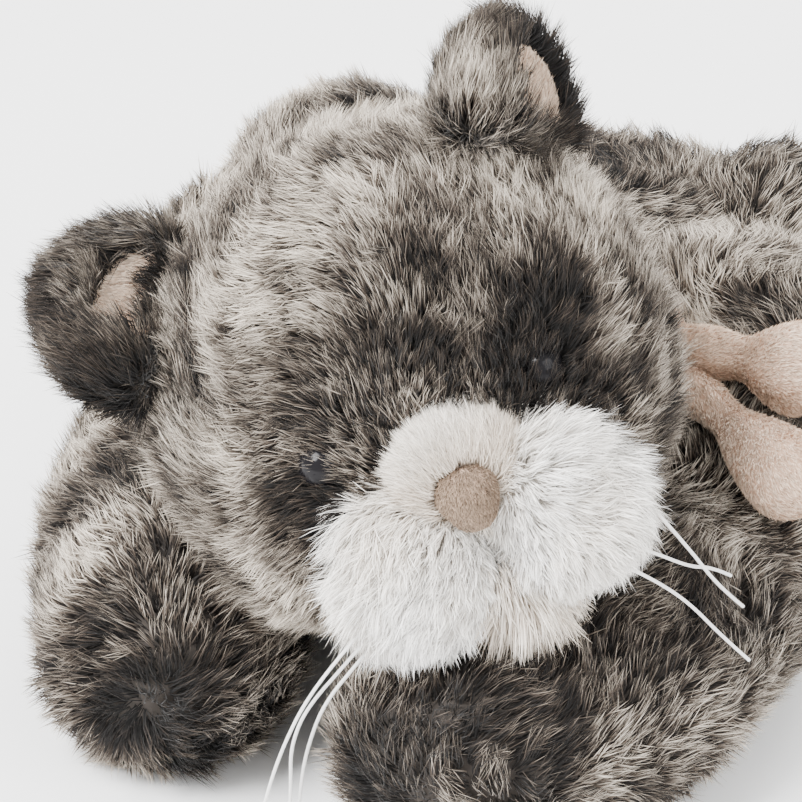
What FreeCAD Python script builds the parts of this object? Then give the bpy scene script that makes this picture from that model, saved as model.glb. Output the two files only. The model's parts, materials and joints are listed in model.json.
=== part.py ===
import FreeCAD, Part
import math
import os

import Sketcher
from FreeCAD import Placement, Rotation, Vector

# A plush cat lying on its belly, with its head turned, lifted and rolled to its own left.
# The cat faces -Y, its own left is +X, up is +Z. The origin is on the flat of the belly.
# Skins are the fabric backing: the pile of the fur fabric stands on them and isn't solid.

X_AXIS = Vector(1, 0, 0)
Y_AXIS = Vector(0, 1, 0)
Z_AXIS = Vector(0, 0, 1)
SIDES = {"left": 1, "right": -1}

# Driving dimensions, millimetres and degrees.
SIZES = {
    "skin_wall": 3.0,
    "seam_gap": 1.2,
    "socket_gap": 0.6,
    "torso_half_width": 74.0,
    "torso_half_length": 86.0,
    "torso_half_height": 43.0,
    "belly_flat_depth": 2.0,
    "rump_half_width": 44.0,
    "rump_half_length": 38.0,
    "rump_half_height": 34.0,
    "pellet_half_width": 42.0,
    "pellet_half_length": 52.0,
    "pellet_half_height": 13.0,
    "front_left_shoulder_radius": 37.0,
    "front_left_elbow_radius": 31.0,
    "front_left_wrist_radius": 30.0,
    "front_left_paw_radius": 31.0,
    "front_right_shoulder_radius": 37.0,
    "front_right_elbow_radius": 30.0,
    "front_right_wrist_radius": 29.0,
    "front_right_paw_radius": 31.0,
    "hind_hip_radius": 38.0,
    "hind_foot_radius": 26.0,
    "tail_root_radius": 14.0,
    "tail_middle_radius": 13.0,
    "tail_tip_radius": 12.0,
    "head_radius": 61.0,
    "head_turn_angle": 26.1,
    "head_lift_angle": 11.5,
    "head_roll_angle": 21.1,
    "neck_ball_radius": 22.0,
    "neck_wall": 3.5,
    "puff_upper_radius": 14.5,
    "puff_lower_radius": 15.5,
    "bridge_radius": 14.5,
    "chin_radius": 10.5,
    "nose_upper_radius": 7.5,
    "nose_lower_radius": 6.0,
    "eye_dome_radius": 6.0,
    "eye_dome_height": 5.0,
    "eye_stem_radius": 1.75,
    "eye_stem_length": 9.5,
    "eye_hole_gap": 0.3,
    "washer_radius": 7.5,
    "washer_thickness": 1.6,
    "washer_seat_gap": 0.8,
    "ear_half_width": 24.0,
    "ear_half_thickness": 10.0,
    "ear_half_height": 21.0,
    "ear_seam_radius": 4.5,
    "ear_seam_half_length": 15.0,
    "ear_seat_gap": 1.2,
    "ear_cup_half_width": 16.0,
    "ear_cup_half_depth": 10.0,
    "ear_cup_half_height": 17.0,
    "ear_lining_thickness": 2.0,
    "whisker_radius": 0.45,
    "band_radius": 38.5,
    "band_width": 13.0,
    "band_thickness": 3.0,
    "knot_half_width": 9.0,
    "knot_half_height": 11.0,
    "upper_loop_root_radius": 6.0,
    "upper_loop_radius": 12.0,
    "lower_loop_root_radius": 5.0,
    "lower_loop_radius": 11.0,
}


# ---------------------------------------------------------------- document and sheet

doc = FreeCAD.newDocument("plush_cat")
sheet = doc.addObject("Spreadsheet::Sheet", "Sizes")
for row, (alias, number) in enumerate(SIZES.items(), start=1):
    sheet.set(f"A{row}", alias.replace("_", " "))
    sheet.set(f"B{row}", str(number))
    sheet.setAlias(f"B{row}", alias)
doc.recompute()


def size(alias):
    """The sheet's value of one driving dimension."""
    return float(sheet.get(alias))


def cell(alias):
    """The alias as an expression can name it."""
    return "Sizes." + alias


def bind(item, **expressions):
    """Bind properties of a document object to expressions on the sheet."""
    for name, expression in expressions.items():
        item.setExpression(name, expression)


# ---------------------------------------------------------------- where things are

FLAT = size("belly_flat_depth")
TORSO_CENTRE = Vector(0, 0, size("torso_half_height") - FLAT)
RUMP_CENTRE = Vector(22, size("torso_half_length") - 34, size("rump_half_height") + 4)
PELLET_CENTRE = Vector(0, 0, size("pellet_half_height") + 7)

# The chin rests just over the forelegs, in front of the torso.
CHIN_HEIGHT = 39.0
HEAD_CENTRE = Vector(
    8,
    -(size("torso_half_length") + size("head_radius") - 13),
    CHIN_HEIGHT + size("head_radius"),
)
HEAD_ROTATION = (
    Rotation(Z_AXIS, size("head_turn_angle"))
    * Rotation(X_AXIS, -size("head_lift_angle"))
    * Rotation(Y_AXIS, -size("head_roll_angle"))
)
HEAD = Placement(HEAD_CENTRE, HEAD_ROTATION)

# The neck ball sits in a socket of the head and a socket of the torso.
NECK_CENTRE = HEAD_CENTRE + Vector(-5, size("head_radius") - 11, -22)
NECK_AXIS = (HEAD_CENTRE - TORSO_CENTRE - Vector(0, 46 - size("torso_half_length"), 9)).normalize()


def leg_beside_head(side, gap):
    """X of a foreleg's axis that passes under the head's side."""
    return HEAD_CENTRE.x + side * (size("head_radius") + gap)


def past_head(distance):
    """Y of a point of a foreleg, from the middle of the head towards the paws."""
    return HEAD_CENTRE.y - distance


def on_floor(alias):
    """Height of a limb's axis that rests flat on the floor."""
    return size(alias) - FLAT


FRONT_LEG_LEFT = (
    (Vector(70, -32, 54), "front_left_shoulder_radius"),
    (Vector(leg_beside_head(1, 11), past_head(-34), 33), "front_left_elbow_radius"),
    (
        Vector(leg_beside_head(1, -1), past_head(16), on_floor("front_left_wrist_radius")),
        "front_left_wrist_radius",
    ),
    (Vector(42, past_head(54), on_floor("front_left_paw_radius")), "front_left_paw_radius"),
)
FRONT_LEG_RIGHT = (
    (Vector(-62, -38, 58), "front_right_shoulder_radius"),
    (Vector(leg_beside_head(-1, 15), past_head(-38), 31), "front_right_elbow_radius"),
    (
        Vector(leg_beside_head(-1, 8), past_head(4), on_floor("front_right_wrist_radius")),
        "front_right_wrist_radius",
    ),
    (Vector(-45, past_head(35), on_floor("front_right_paw_radius")), "front_right_paw_radius"),
)
HIND_LEG_LEFT = (
    (Vector(68, 48, 42), "hind_hip_radius"),
    (Vector(98, 98, on_floor("hind_foot_radius")), "hind_foot_radius"),
)
HIND_LEG_RIGHT = (
    (Vector(-68, 50, 43), "hind_hip_radius"),
    (Vector(-96, 98, on_floor("hind_foot_radius")), "hind_foot_radius"),
)
TAIL = (
    (Vector(0, size("torso_half_length") + 4, 26), "tail_root_radius"),
    (Vector(-14, size("torso_half_length") + 46, 14), "tail_middle_radius"),
    (Vector(-56, size("torso_half_length") + 66, 11), "tail_tip_radius"),
)
LIMBS = {
    "front_leg_left": FRONT_LEG_LEFT,
    "front_leg_right": FRONT_LEG_RIGHT,
    "hind_leg_left": HIND_LEG_LEFT,
    "hind_leg_right": HIND_LEG_RIGHT,
    "tail": TAIL,
}

BAND_CENTRE = NECK_CENTRE - NECK_AXIS * 11 + Vector(5.5, 0, 5)
KNOT_CENTRE = BAND_CENTRE + Vector(
    size("band_radius") + size("band_thickness") / 2 + size("knot_half_width") + 0.3, -0.5, 8
)
UPPER_LOOP = (
    (KNOT_CENTRE + Vector(11, -4, 1), "upper_loop_root_radius"),
    (KNOT_CENTRE + Vector(41, -8, 3), "upper_loop_radius"),
)
LOWER_LOOP = (
    (KNOT_CENTRE + Vector(9, -9, -4), "lower_loop_root_radius"),
    (KNOT_CENTRE + Vector(46, -38, -12), "lower_loop_radius"),
)

# Whisker threads, from the face of a muzzle puff to the bare tip.
WHISKERS = {
    "whisker_left_upper": (
        Vector(67, -174.5, 104), Vector(75.5, -169.5, 100), Vector(81.5, -167, 91),
        Vector(90, -163, 78.5), Vector(96.5, -159, 67), Vector(102, -154.5, 59.5),
    ),
    "whisker_left_middle": (
        Vector(68, -183.5, 96.5), Vector(75, -178, 87.5), Vector(82, -170, 81),
        Vector(89.5, -161.5, 73), Vector(93.5, -154.5, 69.5), Vector(97.5, -150, 65),
    ),
    "whisker_left_lower": (
        Vector(66, -185.5, 94), Vector(75, -182.5, 84.5), Vector(82.5, -175, 77),
        Vector(91, -168.5, 67.5), Vector(99, -164, 56), Vector(105.5, -160.5, 48),
    ),
    "whisker_right_outer": (
        Vector(26, -206.5, 78.5), Vector(16.5, -211, 65), Vector(7, -213.5, 49.5),
        Vector(1.5, -215, 35.5), Vector(-2, -216, 23.5), Vector(-5, -215.5, 11),
    ),
    "whisker_right_middle": (
        Vector(28, -205.5, 77.5), Vector(17, -209.5, 61), Vector(6.5, -211.5, 46),
        Vector(2.5, -212, 34), Vector(2, -211, 22.5), Vector(1.5, -211, 11),
    ),
    "whisker_right_inner": (
        Vector(30, -205, 77.5), Vector(19.5, -206.5, 60.5), Vector(10, -207.5, 46),
        Vector(6, -208.5, 33.5), Vector(4, -209.5, 22), Vector(3, -209, 10),
    ),
}


# ---------------------------------------------------------------- shared builders


def ellipsoid(name, half_x, half_y, half_z, centre=Vector(), rotation=Rotation(), grow="0"):
    """An ellipsoid whose half axes are cells, each grown by the same expression."""
    item = doc.addObject("Part::Ellipsoid", name)
    item.Angle1, item.Angle2, item.Angle3 = -90, 90, 360
    bind(
        item,
        Radius1=f"{cell(half_z)} + {grow}",
        Radius2=f"{cell(half_x)} + {grow}",
        Radius3=f"{cell(half_y)} + {grow}",
    )
    item.Placement = Placement(centre, rotation)
    return item


def ball(name, radius, centre, rotation=Rotation()):
    """A sphere whose radius is an expression; its surface's seam runs down its own +X side."""
    item = doc.addObject("Part::Sphere", name)
    bind(item, Radius=radius)
    item.Placement = Placement(centre, rotation)
    return item


def rod(name, radius, length, start, direction):
    """A round rod from a point along a direction."""
    item = doc.addObject("Part::Cylinder", name)
    bind(item, Radius=radius, Height=length)
    item.Placement = Placement(start, Rotation(Z_AXIS, direction))
    return item


def block(name, low, high):
    """A plain block between two corners, used to trim other solids."""
    item = doc.addObject("Part::Box", name)
    item.Length, item.Width, item.Height = high - low
    item.Placement = Placement(low, Rotation())
    return item


def joined(name, items):
    """Several solids fused into one."""
    item = doc.addObject("Part::MultiFuse", name)
    item.Shapes = items
    return item


def cut(name, base, *tools):
    """A base solid less one or more tool solids."""
    tool = tools[0] if len(tools) == 1 else joined(name + "_tools", list(tools))
    item = doc.addObject("Part::Cut", name)
    item.Base, item.Tool = base, tool
    return item


def common(name, first, second):
    """The space that two solids share."""
    item = doc.addObject("Part::Common", name)
    item.Base, item.Tool = first, second
    return item


def plane_of(body, role):
    """One of a body's own origin planes."""
    return next(item for item in body.Origin.OriginFeatures if item.Role == role)


def sketch_on(body, name, offset=Placement(), role="XY_Plane"):
    """A sketch on one of the body's origin planes, moved by an offset."""
    sketch = body.newObject("Sketcher::SketchObject", name)
    sketch.AttachmentSupport = [(plane_of(body, role), "")]
    sketch.MapMode = "FlatFace"
    sketch.AttachmentOffset = offset
    return sketch


def capsule_sketch(body, name, start, end, start_alias, end_alias, grow):
    """Half outline of two round ends joined by their common tangent, its axis along the sketch's X."""
    along = end - start
    length = along.Length
    margin = sheet_value_of(grow)
    first, last = size(start_alias) + margin, size(end_alias) + margin
    tangent = math.pi / 2 - math.asin((first - last) / length)
    offset = Placement(start, Rotation(X_AXIS, along))
    sketch = sketch_on(body, name, offset)
    far = Vector(length, 0, 0)
    rim = Vector(math.cos(tangent), math.sin(tangent), 0)
    sketch.addGeometry(
        [
            Part.ArcOfCircle(Part.Circle(Vector(), Z_AXIS, first), tangent, math.pi),
            Part.ArcOfCircle(Part.Circle(far, Z_AXIS, last), 0, tangent),
            Part.LineSegment(rim * first, far + rim * last),
            Part.LineSegment(Vector(-first, 0, 0), Vector(length + last, 0, 0)),
        ],
        False,
    )
    sketch.addConstraint(
        [
            Sketcher.Constraint("Coincident", 0, 3, -1, 1),
            Sketcher.Constraint("PointOnObject", 1, 3, -1),
            Sketcher.Constraint("DistanceX", -1, 1, 1, 3, length),
            Sketcher.Constraint("Radius", 0, first),
            Sketcher.Constraint("Radius", 1, last),
            Sketcher.Constraint("Coincident", 0, 2, 3, 1),
            Sketcher.Constraint("Coincident", 1, 1, 3, 2),
            Sketcher.Constraint("PointOnObject", 3, 1, -1),
            Sketcher.Constraint("PointOnObject", 3, 2, -1),
            Sketcher.Constraint("Tangent", 0, 1, 2, 1),
            Sketcher.Constraint("Tangent", 1, 2, 2, 2),
        ]
    )
    sketch.renameConstraint(3, "start_radius")
    sketch.renameConstraint(4, "end_radius")
    sketch.setExpression("Constraints.start_radius", f"{cell(start_alias)} + {grow}")
    sketch.setExpression("Constraints.end_radius", f"{cell(end_alias)} + {grow}")
    return sketch


def sheet_value_of(grow):
    """The number behind a grow expression, which is 0 or one signed cell."""
    if grow == "0":
        return 0.0
    sign = -1 if grow.startswith("-") else 1
    return sign * size(grow.split(".")[1])


def revolved(body, kind, name, sketch):
    """A full Revolution or Groove of a sketch about its own X axis."""
    item = body.newObject("PartDesign::" + kind, name)
    item.Profile = sketch
    item.ReferenceAxis = (sketch, ["H_Axis"])
    item.Angle = 360
    sketch.Visibility = False
    return item


def add_capsules(body, kind, route, grow):
    """Revolve one capsule for each pair of neighbouring points of a route."""
    for index in range(len(route) - 1):
        (start, start_alias), (end, end_alias) = route[index], route[index + 1]
        name = f"{body.Name}_{kind}_{index + 1}"
        sketch = capsule_sketch(body, name + "_outline", start, end, start_alias, end_alias, grow)
        revolved(body, kind, name, sketch)


def trim_at_floor(body):
    """Cut away whatever is below the floor, so that the piece lies on a flat."""
    sketch = sketch_on(body, body.Name + "_floor_outline")
    reach = 600.0
    corners = [Vector(x, y, 0) for x, y in ((-1, -1), (1, -1), (1, 1), (-1, 1))]
    for index in range(4):
        start, end = corners[index] * reach, corners[(index + 1) % 4] * reach
        sketch.addGeometry(Part.LineSegment(start, end), False)
    for index in range(4):
        sketch.addConstraint(Sketcher.Constraint("Coincident", index, 2, (index + 1) % 4, 1))
        sketch.addConstraint(Sketcher.Constraint("Block", index))
    doc.recompute()
    before = body.Shape.Volume
    pocket = body.newObject("PartDesign::Pocket", body.Name + "_floor_cut")
    pocket.Profile = sketch
    pocket.Type = "ThroughAll"
    sketch.Visibility = False
    doc.recompute()
    if not body.Shape.Volume < before:
        raise RuntimeError(body.Name + ": the floor cut removed nothing")


def soft_body(name, route, grow="0", hollow=False, flat=False):
    """A round-ended tapered piece along a route, solid or with the skin's wall."""
    body = doc.addObject("PartDesign::Body", name)
    add_capsules(body, "Revolution", route, grow)
    if hollow:
        doc.recompute()
        before = body.Shape.Volume
        add_capsules(body, "Groove", route, "-" + cell("skin_wall"))
        doc.recompute()
        if not body.Shape.Volume < before:
            raise RuntimeError(name + ": the hollow removed nothing")
    if flat:
        trim_at_floor(body)
    return body


NODES = []


def node(item, label, placement=None):
    """Name a finished sub-part, place it and keep it for export."""
    item.Label = label
    if placement is not None:
        item.Placement = placement
    NODES.append(item)
    return item


# ---------------------------------------------------------------- legs and tail


def make_limbs():
    """Skin and filling of each leg and of the tail."""
    for name, route in LIMBS.items():
        node(soft_body(name + "_skin_body", route, hollow=True, flat=True), name + "_skin")
        node(soft_body(name + "_filling_body", route, grow="-" + cell("skin_wall")), name + "_filling")


def limb_clearances(prefix):
    """Each limb's outline grown by the seam gap, for cutting its pocket."""
    return [
        soft_body(f"{prefix}_{name}", route, grow=cell("seam_gap"))
        for name, route in LIMBS.items()
    ]


# ---------------------------------------------------------------- torso


def torso_outline(name, grow):
    """Barrel and rump as one solid, grown or shrunk evenly."""
    barrel = ellipsoid(
        name + "_barrel",
        "torso_half_width", "torso_half_length", "torso_half_height",
        TORSO_CENTRE, grow=grow,
    )
    rump = ellipsoid(
        name + "_rump",
        "rump_half_width", "rump_half_length", "rump_half_height",
        RUMP_CENTRE, grow=grow,
    )
    return joined(name, [barrel, rump])


def make_torso():
    """Skin, filling and the bag of pellets in the belly."""
    wall = "-" + cell("skin_wall")
    limbs = limb_clearances("torso_pocket")
    socket = ball("torso_socket", f"{cell('neck_ball_radius')} + {cell('socket_gap')}", NECK_CENTRE)
    below = block("below_floor", Vector(-300, -300, -100), Vector(300, 300, 0))
    outer = cut("torso_outer", torso_outline("torso_shape", "0"), socket, below, *limbs)

    lined_socket = ball(
        "torso_socket_lining",
        f"{cell('neck_ball_radius')} + {cell('socket_gap')} + {cell('skin_wall')}",
        NECK_CENTRE,
    )
    lined_limbs = [
        soft_body(f"torso_lining_{name}", route, grow=cell("skin_wall"))
        for name, route in LIMBS.items()
    ]
    inner = cut("torso_inner", torso_outline("torso_hollow", wall), lined_socket, *lined_limbs)
    node(cut("torso_skin_cut", outer, inner), "torso_skin")

    bag = ellipsoid(
        "pellet_bag_shape",
        "pellet_half_width", "pellet_half_length", "pellet_half_height",
        PELLET_CENTRE,
    )
    node(cut("torso_filling_cut", inner, bag), "torso_filling")
    node(bag, "pellet_bag")


# ---------------------------------------------------------------- neck and head

# Where the eyes sit on the head's skin, across from its middle and up from its centre.
EYE_SPREAD = 29.0
EYE_HEIGHT = 5.5

# The neck's place in the head's frame.
NECK_IN_HEAD = HEAD.inverse().multVec(NECK_CENTRE)


def head_outline(name, grow="0"):
    """The head's round shape in its own frame, its surface's seam over the neck."""
    seam = Rotation(Z_AXIS, math.degrees(math.atan2(NECK_IN_HEAD.y, NECK_IN_HEAD.x)))
    return ball(name, f"{cell('head_radius')} + {grow}", Vector(), seam)


def eye_placement(side):
    """Frame of an eye in the head's frame: X out of the skin."""
    across, up = side * EYE_SPREAD, EYE_HEIGHT
    depth = math.sqrt(size("head_radius") ** 2 - across**2 - up**2)
    point = Vector(across, -depth, up)
    return Placement(point, Rotation(X_AXIS, point))


def make_neck():
    """The neck's fur tube end and the wad inside it, both round about the same centre."""
    outer = ball("neck_ball", cell("neck_ball_radius"), NECK_CENTRE)
    inner = ball("neck_hollow", f"{cell('neck_ball_radius')} - {cell('neck_wall')}", NECK_CENTRE)
    node(cut("neck_sleeve_cut", outer, inner), "neck_sleeve")
    node(
        ball(
            "neck_filling_ball",
            f"{cell('neck_ball_radius')} - {cell('neck_wall')} - {cell('socket_gap')}",
            NECK_CENTRE,
        ),
        "neck_filling",
    )


def make_head():
    """Skin and filling, with the neck's socket and the eyes' holes."""
    into_head = Rotation(Z_AXIS, -NECK_IN_HEAD)
    socket = ball(
        "head_socket", f"{cell('neck_ball_radius')} + {cell('socket_gap')}", NECK_IN_HEAD, into_head
    )
    lined_socket = ball(
        "head_socket_lining",
        f"{cell('neck_ball_radius')} + {cell('socket_gap')} + {cell('skin_wall')}",
        NECK_IN_HEAD,
        into_head,
    )
    holes, washer_rooms = [], []
    for side_name, side in SIDES.items():
        frame = eye_placement(side)
        inwards = frame.Rotation.multVec(-X_AXIS)
        start = frame.Base - inwards * 4
        holes.append(
            rod(
                f"eye_hole_{side_name}",
                f"{cell('eye_stem_radius')} + {cell('eye_hole_gap')}",
                f"{cell('eye_stem_length')} + 5",
                start,
                inwards,
            )
        )
        washer_rooms.append(
            rod(
                f"washer_room_{side_name}",
                f"{cell('washer_radius')} + {cell('eye_hole_gap')}",
                f"{cell('eye_stem_length')} + 5",
                start,
                inwards,
            )
        )
    outer = cut("head_outer", head_outline("head_shape"), socket, *holes)
    inner = cut("head_inner", head_outline("head_hollow", "-" + cell("skin_wall")), lined_socket)
    node(cut("head_skin_cut", outer, inner), "head_skin", HEAD)
    node(cut("head_filling_cut", inner, *washer_rooms), "head_filling", HEAD)


def make_eye(side_name, side):
    """A domed eye on a stem, and the washer that grips the stem inside the head."""
    body = doc.addObject("PartDesign::Body", f"eye_{side_name}_body")
    sketch = sketch_on(body, f"eye_{side_name}_outline")
    dome, height = size("eye_dome_radius"), size("eye_dome_height")
    stem, length = size("eye_stem_radius"), size("eye_stem_length")
    curve = (dome**2 + height**2) / (2 * height)
    centre = Vector(height - curve, 0, 0)
    rim_angle = math.atan2(dome, -centre.x)
    sketch.addGeometry(
        [
            Part.ArcOfCircle(Part.Circle(centre, Z_AXIS, curve), 0, rim_angle),
            Part.LineSegment(Vector(0, dome, 0), Vector(0, stem, 0)),
            Part.LineSegment(Vector(0, stem, 0), Vector(-length, stem, 0)),
            Part.LineSegment(Vector(-length, stem, 0), Vector(-length, 0, 0)),
            Part.LineSegment(Vector(-length, 0, 0), Vector(height, 0, 0)),
        ],
        False,
    )
    sketch.addConstraint(
        [
            Sketcher.Constraint("Coincident", 0, 2, 1, 1),
            Sketcher.Constraint("Coincident", 1, 2, 2, 1),
            Sketcher.Constraint("Coincident", 2, 2, 3, 1),
            Sketcher.Constraint("Coincident", 3, 2, 4, 1),
            Sketcher.Constraint("Coincident", 4, 2, 0, 1),
            Sketcher.Constraint("PointOnObject", 1, 1, -2),
            Sketcher.Constraint("PointOnObject", 1, 2, -2),
            Sketcher.Constraint("Horizontal", 2),
            Sketcher.Constraint("Vertical", 3),
            Sketcher.Constraint("PointOnObject", 4, 1, -1),
            Sketcher.Constraint("PointOnObject", 4, 2, -1),
            Sketcher.Constraint("PointOnObject", 0, 3, -1),
            Sketcher.Constraint("DistanceY", -1, 1, 1, 1, dome),
            Sketcher.Constraint("DistanceY", -1, 1, 1, 2, stem),
            Sketcher.Constraint("DistanceX", 4, 1, -1, 1, length),
            Sketcher.Constraint("DistanceX", -1, 1, 4, 2, height),
        ]
    )
    for index, alias in (
        (12, "eye_dome_radius"), (13, "eye_stem_radius"), (14, "eye_stem_length"), (15, "eye_dome_height"),
    ):
        sketch.renameConstraint(index, alias)
        sketch.setExpression("Constraints." + alias, cell(alias))
    revolved(body, "Revolution", f"eye_{side_name}_turned", sketch)
    frame = HEAD * eye_placement(side)
    node(body, f"eye_{side_name}", frame)

    washer = doc.addObject("PartDesign::Body", f"eye_washer_{side_name}_body")
    ring = sketch_on(washer, f"washer_{side_name}_outline", role="YZ_Plane")
    for index, alias in enumerate(("washer_radius", "eye_stem_radius")):
        ring.addGeometry(Part.Circle(Vector(), Z_AXIS, size(alias)), False)
        ring.addConstraint(Sketcher.Constraint("Coincident", index, 3, -1, 1))
        number = ring.addConstraint(Sketcher.Constraint("Radius", index, size(alias)))
        ring.renameConstraint(number, alias)
        ring.setExpression("Constraints." + alias, cell(alias))
    pad = washer.newObject("PartDesign::Pad", f"washer_{side_name}_pad")
    pad.Profile = ring
    bind(pad, Length=cell("washer_thickness"))
    pad.Reversed = True
    ring.Visibility = False
    seat = size("skin_wall") + size("washer_seat_gap")
    node(washer, f"eye_washer_{side_name}", frame * Placement(Vector(-seat, 0, 0), Rotation()))


def on_head(item):
    """Move a shape that is laid out in the head's frame to where the head is."""
    item.Placement = HEAD * item.Placement
    return item


def make_muzzle():
    """Two puffs, the bridge over them, the chin tuft under them and the nose pad in front."""
    forwards = -size("head_radius")
    puffs = {}
    for side_name, side in SIDES.items():
        route = (
            (Vector(side * 16, forwards + 3, -20.5), "puff_upper_radius"),
            (Vector(side * 18, forwards + 3, -28.5), "puff_lower_radius"),
        )
        shape = on_head(soft_body(f"puff_shape_{side_name}", route))
        reach = 100 * side
        beyond = block(
            f"beyond_middle_{side_name}",
            Vector(min(0, -reach), -200, -200),
            Vector(max(0, -reach), 200, 200),
        )
        outline = on_head(head_outline(f"head_behind_puff_{side_name}"))
        puffs[side_name] = cut(
            f"muzzle_puff_{side_name}_cut", shape, outline, on_head(beyond)
        )
        node(puffs[side_name], f"muzzle_puff_{side_name}")
    pair = list(puffs.values())

    bridge_shape = on_head(ball("bridge_shape", cell("bridge_radius"), Vector(0, forwards + 2, -6)))
    behind_bridge = on_head(head_outline("head_behind_bridge"))
    bridge = cut("muzzle_bridge_cut", bridge_shape, behind_bridge, *pair)
    node(bridge, "muzzle_bridge")
    chin_shape = on_head(ball("chin_shape", cell("chin_radius"), Vector(0, forwards + 8, -42)))
    behind_chin = on_head(head_outline("head_behind_chin"))
    node(cut("chin_tuft_cut", chin_shape, behind_chin, *pair), "chin_tuft")
    nose_route = (
        (Vector(0, forwards - 10.5, -8.5), "nose_upper_radius"),
        (Vector(0, forwards - 11.5, -12), "nose_lower_radius"),
    )
    nose_shape = on_head(soft_body("nose_shape", nose_route))
    node(cut("nose_pad_cut", nose_shape, bridge, *pair), "nose_pad")


# ---------------------------------------------------------------- ears

# Where each ear stands in the head's frame: a point inside the skin that the base line passes
# over, the way the ear stands up and the way its hollow faces.
EARS = {
    "left": (Vector(40, -5, 42), Vector(0.32, 0.30, 0.90), Vector(0.85, -0.50, -0.10)),
    "right": (Vector(-50, 5, 35.5), Vector(-0.80, 0.10, 0.60), Vector(0.75, -0.58, 0.30)),
}


def ear_frame(side_name):
    """The ear's frame: X across, Y away from its hollow, Z up, origin on the seam's axis."""
    towards, up, facing = EARS[side_name]
    outwards = Vector(towards).normalize()
    base = outwards * (size("head_radius") + size("ear_seam_radius") + size("ear_seat_gap"))
    upright = Vector(up).normalize()
    across = upright.cross(facing).normalize()
    return Placement(base, Rotation(across, upright.cross(across), upright, "ZXY"))


def make_ear(side_name):
    """The fur back with its seam roll, and the short-pile lining in its hollow."""
    place = HEAD * ear_frame(side_name)

    def lens(name, back_by=0.0):
        return ellipsoid(
            f"{name}_{side_name}",
            "ear_cup_half_width", "ear_cup_half_depth", "ear_cup_half_height",
            Vector(0, -size("ear_half_thickness") - 2 - back_by, size("ear_half_height") / 2 - 1),
        )

    bulb = ellipsoid(
        f"ear_bulb_{side_name}",
        "ear_half_width", "ear_half_thickness", "ear_half_height",
        Vector(0, 0, 3),
    )
    above = block(f"above_seam_{side_name}", Vector(-60, -60, 0), Vector(60, 60, 80))
    flap = common(f"ear_flap_{side_name}", bulb, above)
    roll = soft_roll(f"ear_roll_{side_name}")
    blank = joined(f"ear_blank_{side_name}", [flap, roll])
    node(cut(f"ear_back_{side_name}_cut", blank, lens("ear_cup")), f"ear_back_{side_name}", place)
    hollow = common(f"ear_hollow_{side_name}", blank, lens("ear_cup_again"))
    lining = cut(
        f"ear_lining_{side_name}_cut", hollow, lens("ear_mouth", size("ear_lining_thickness"))
    )
    node(lining, f"ear_lining_{side_name}", place)


def soft_roll(name):
    """The rolled edge that the ear is sewn on by, a rod along the seam."""
    start = Vector(-size("ear_seam_half_length"), 0, 0)
    return rod(name, cell("ear_seam_radius"), f"2 * {cell('ear_seam_half_length')}", start, X_AXIS)


# ---------------------------------------------------------------- scarf


def make_scarf():
    """The band round the neck, the knot on it and the two loops of the bow."""
    body = doc.addObject("PartDesign::Body", "scarf_band_body")
    sketch = sketch_on(body, "band_section", role="XZ_Plane")
    radius, width, thickness = size("band_radius"), size("band_width"), size("band_thickness")
    low, high = radius - thickness / 2, radius + thickness / 2
    corners = [
        Vector(low, -width / 2, 0), Vector(high, -width / 2, 0),
        Vector(high, width / 2, 0), Vector(low, width / 2, 0),
    ]
    for index in range(4):
        sketch.addGeometry(Part.LineSegment(corners[index], corners[(index + 1) % 4]), False)
    for index in range(4):
        sketch.addConstraint(Sketcher.Constraint("Coincident", index, 2, (index + 1) % 4, 1))
        direction = "Horizontal" if index % 2 == 0 else "Vertical"
        sketch.addConstraint(Sketcher.Constraint(direction, index))
    for name, kind, places, number, expression in (
        ("inner", "DistanceX", (-1, 1, 0, 1), low, f"{cell('band_radius')} - {cell('band_thickness')} / 2"),
        ("thick", "DistanceX", (0, 1, 0, 2), thickness, cell("band_thickness")),
        ("wide", "DistanceY", (1, 1, 1, 2), width, cell("band_width")),
        ("half", "DistanceY", (0, 1, -1, 1), width / 2, cell("band_width") + " / 2"),
    ):
        where = sketch.addConstraint(Sketcher.Constraint(kind, *places, number))
        sketch.renameConstraint(where, name)
        sketch.setExpression("Constraints." + name, expression)
    ring = body.newObject("PartDesign::Revolution", "band_ring")
    ring.Profile = sketch
    ring.ReferenceAxis = (sketch, ["V_Axis"])
    ring.Angle = 360
    sketch.Visibility = False
    node(body, "scarf_band", Placement(BAND_CENTRE, Rotation(Z_AXIS, NECK_AXIS)))

    knot = ellipsoid("knot_shape", "knot_half_width", "knot_half_width", "knot_half_height", KNOT_CENTRE)
    node(knot, "scarf_knot")
    earlier = [knot]
    for name, route in (("upper", UPPER_LOOP), ("lower", LOWER_LOOP)):
        loop = soft_body(f"scarf_loop_{name}_body", route)
        node(cut(f"scarf_loop_{name}_cut", loop, *earlier), f"scarf_loop_{name}")
        earlier.append(loop)


# ---------------------------------------------------------------- whiskers


def thread_path(points):
    """Straight runs joined by tangent arcs, and each arc's radius."""
    edges, radii = [], []
    start = points[0]
    for before, corner, after in zip(points, points[1:], points[2:]):
        back, on = (before - corner), (after - corner)
        turn = math.pi - back.getAngle(on)
        reach = 0.45 * min(back.Length, on.Length)
        radii.append(reach / math.tan(turn / 2))
        enter = corner + back.normalize() * reach
        leave = corner + on.normalize() * reach
        inward = (back + on).normalize()
        centre = corner + inward * math.hypot(radii[-1], reach)
        middle = centre - inward * radii[-1]
        edges.append(Part.LineSegment(start, enter).toShape())
        edges.append(Part.Arc(enter, middle, leave).toShape())
        start = leave
    edges.append(Part.LineSegment(start, points[-1]).toShape())
    return Part.Wire(edges), radii


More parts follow.
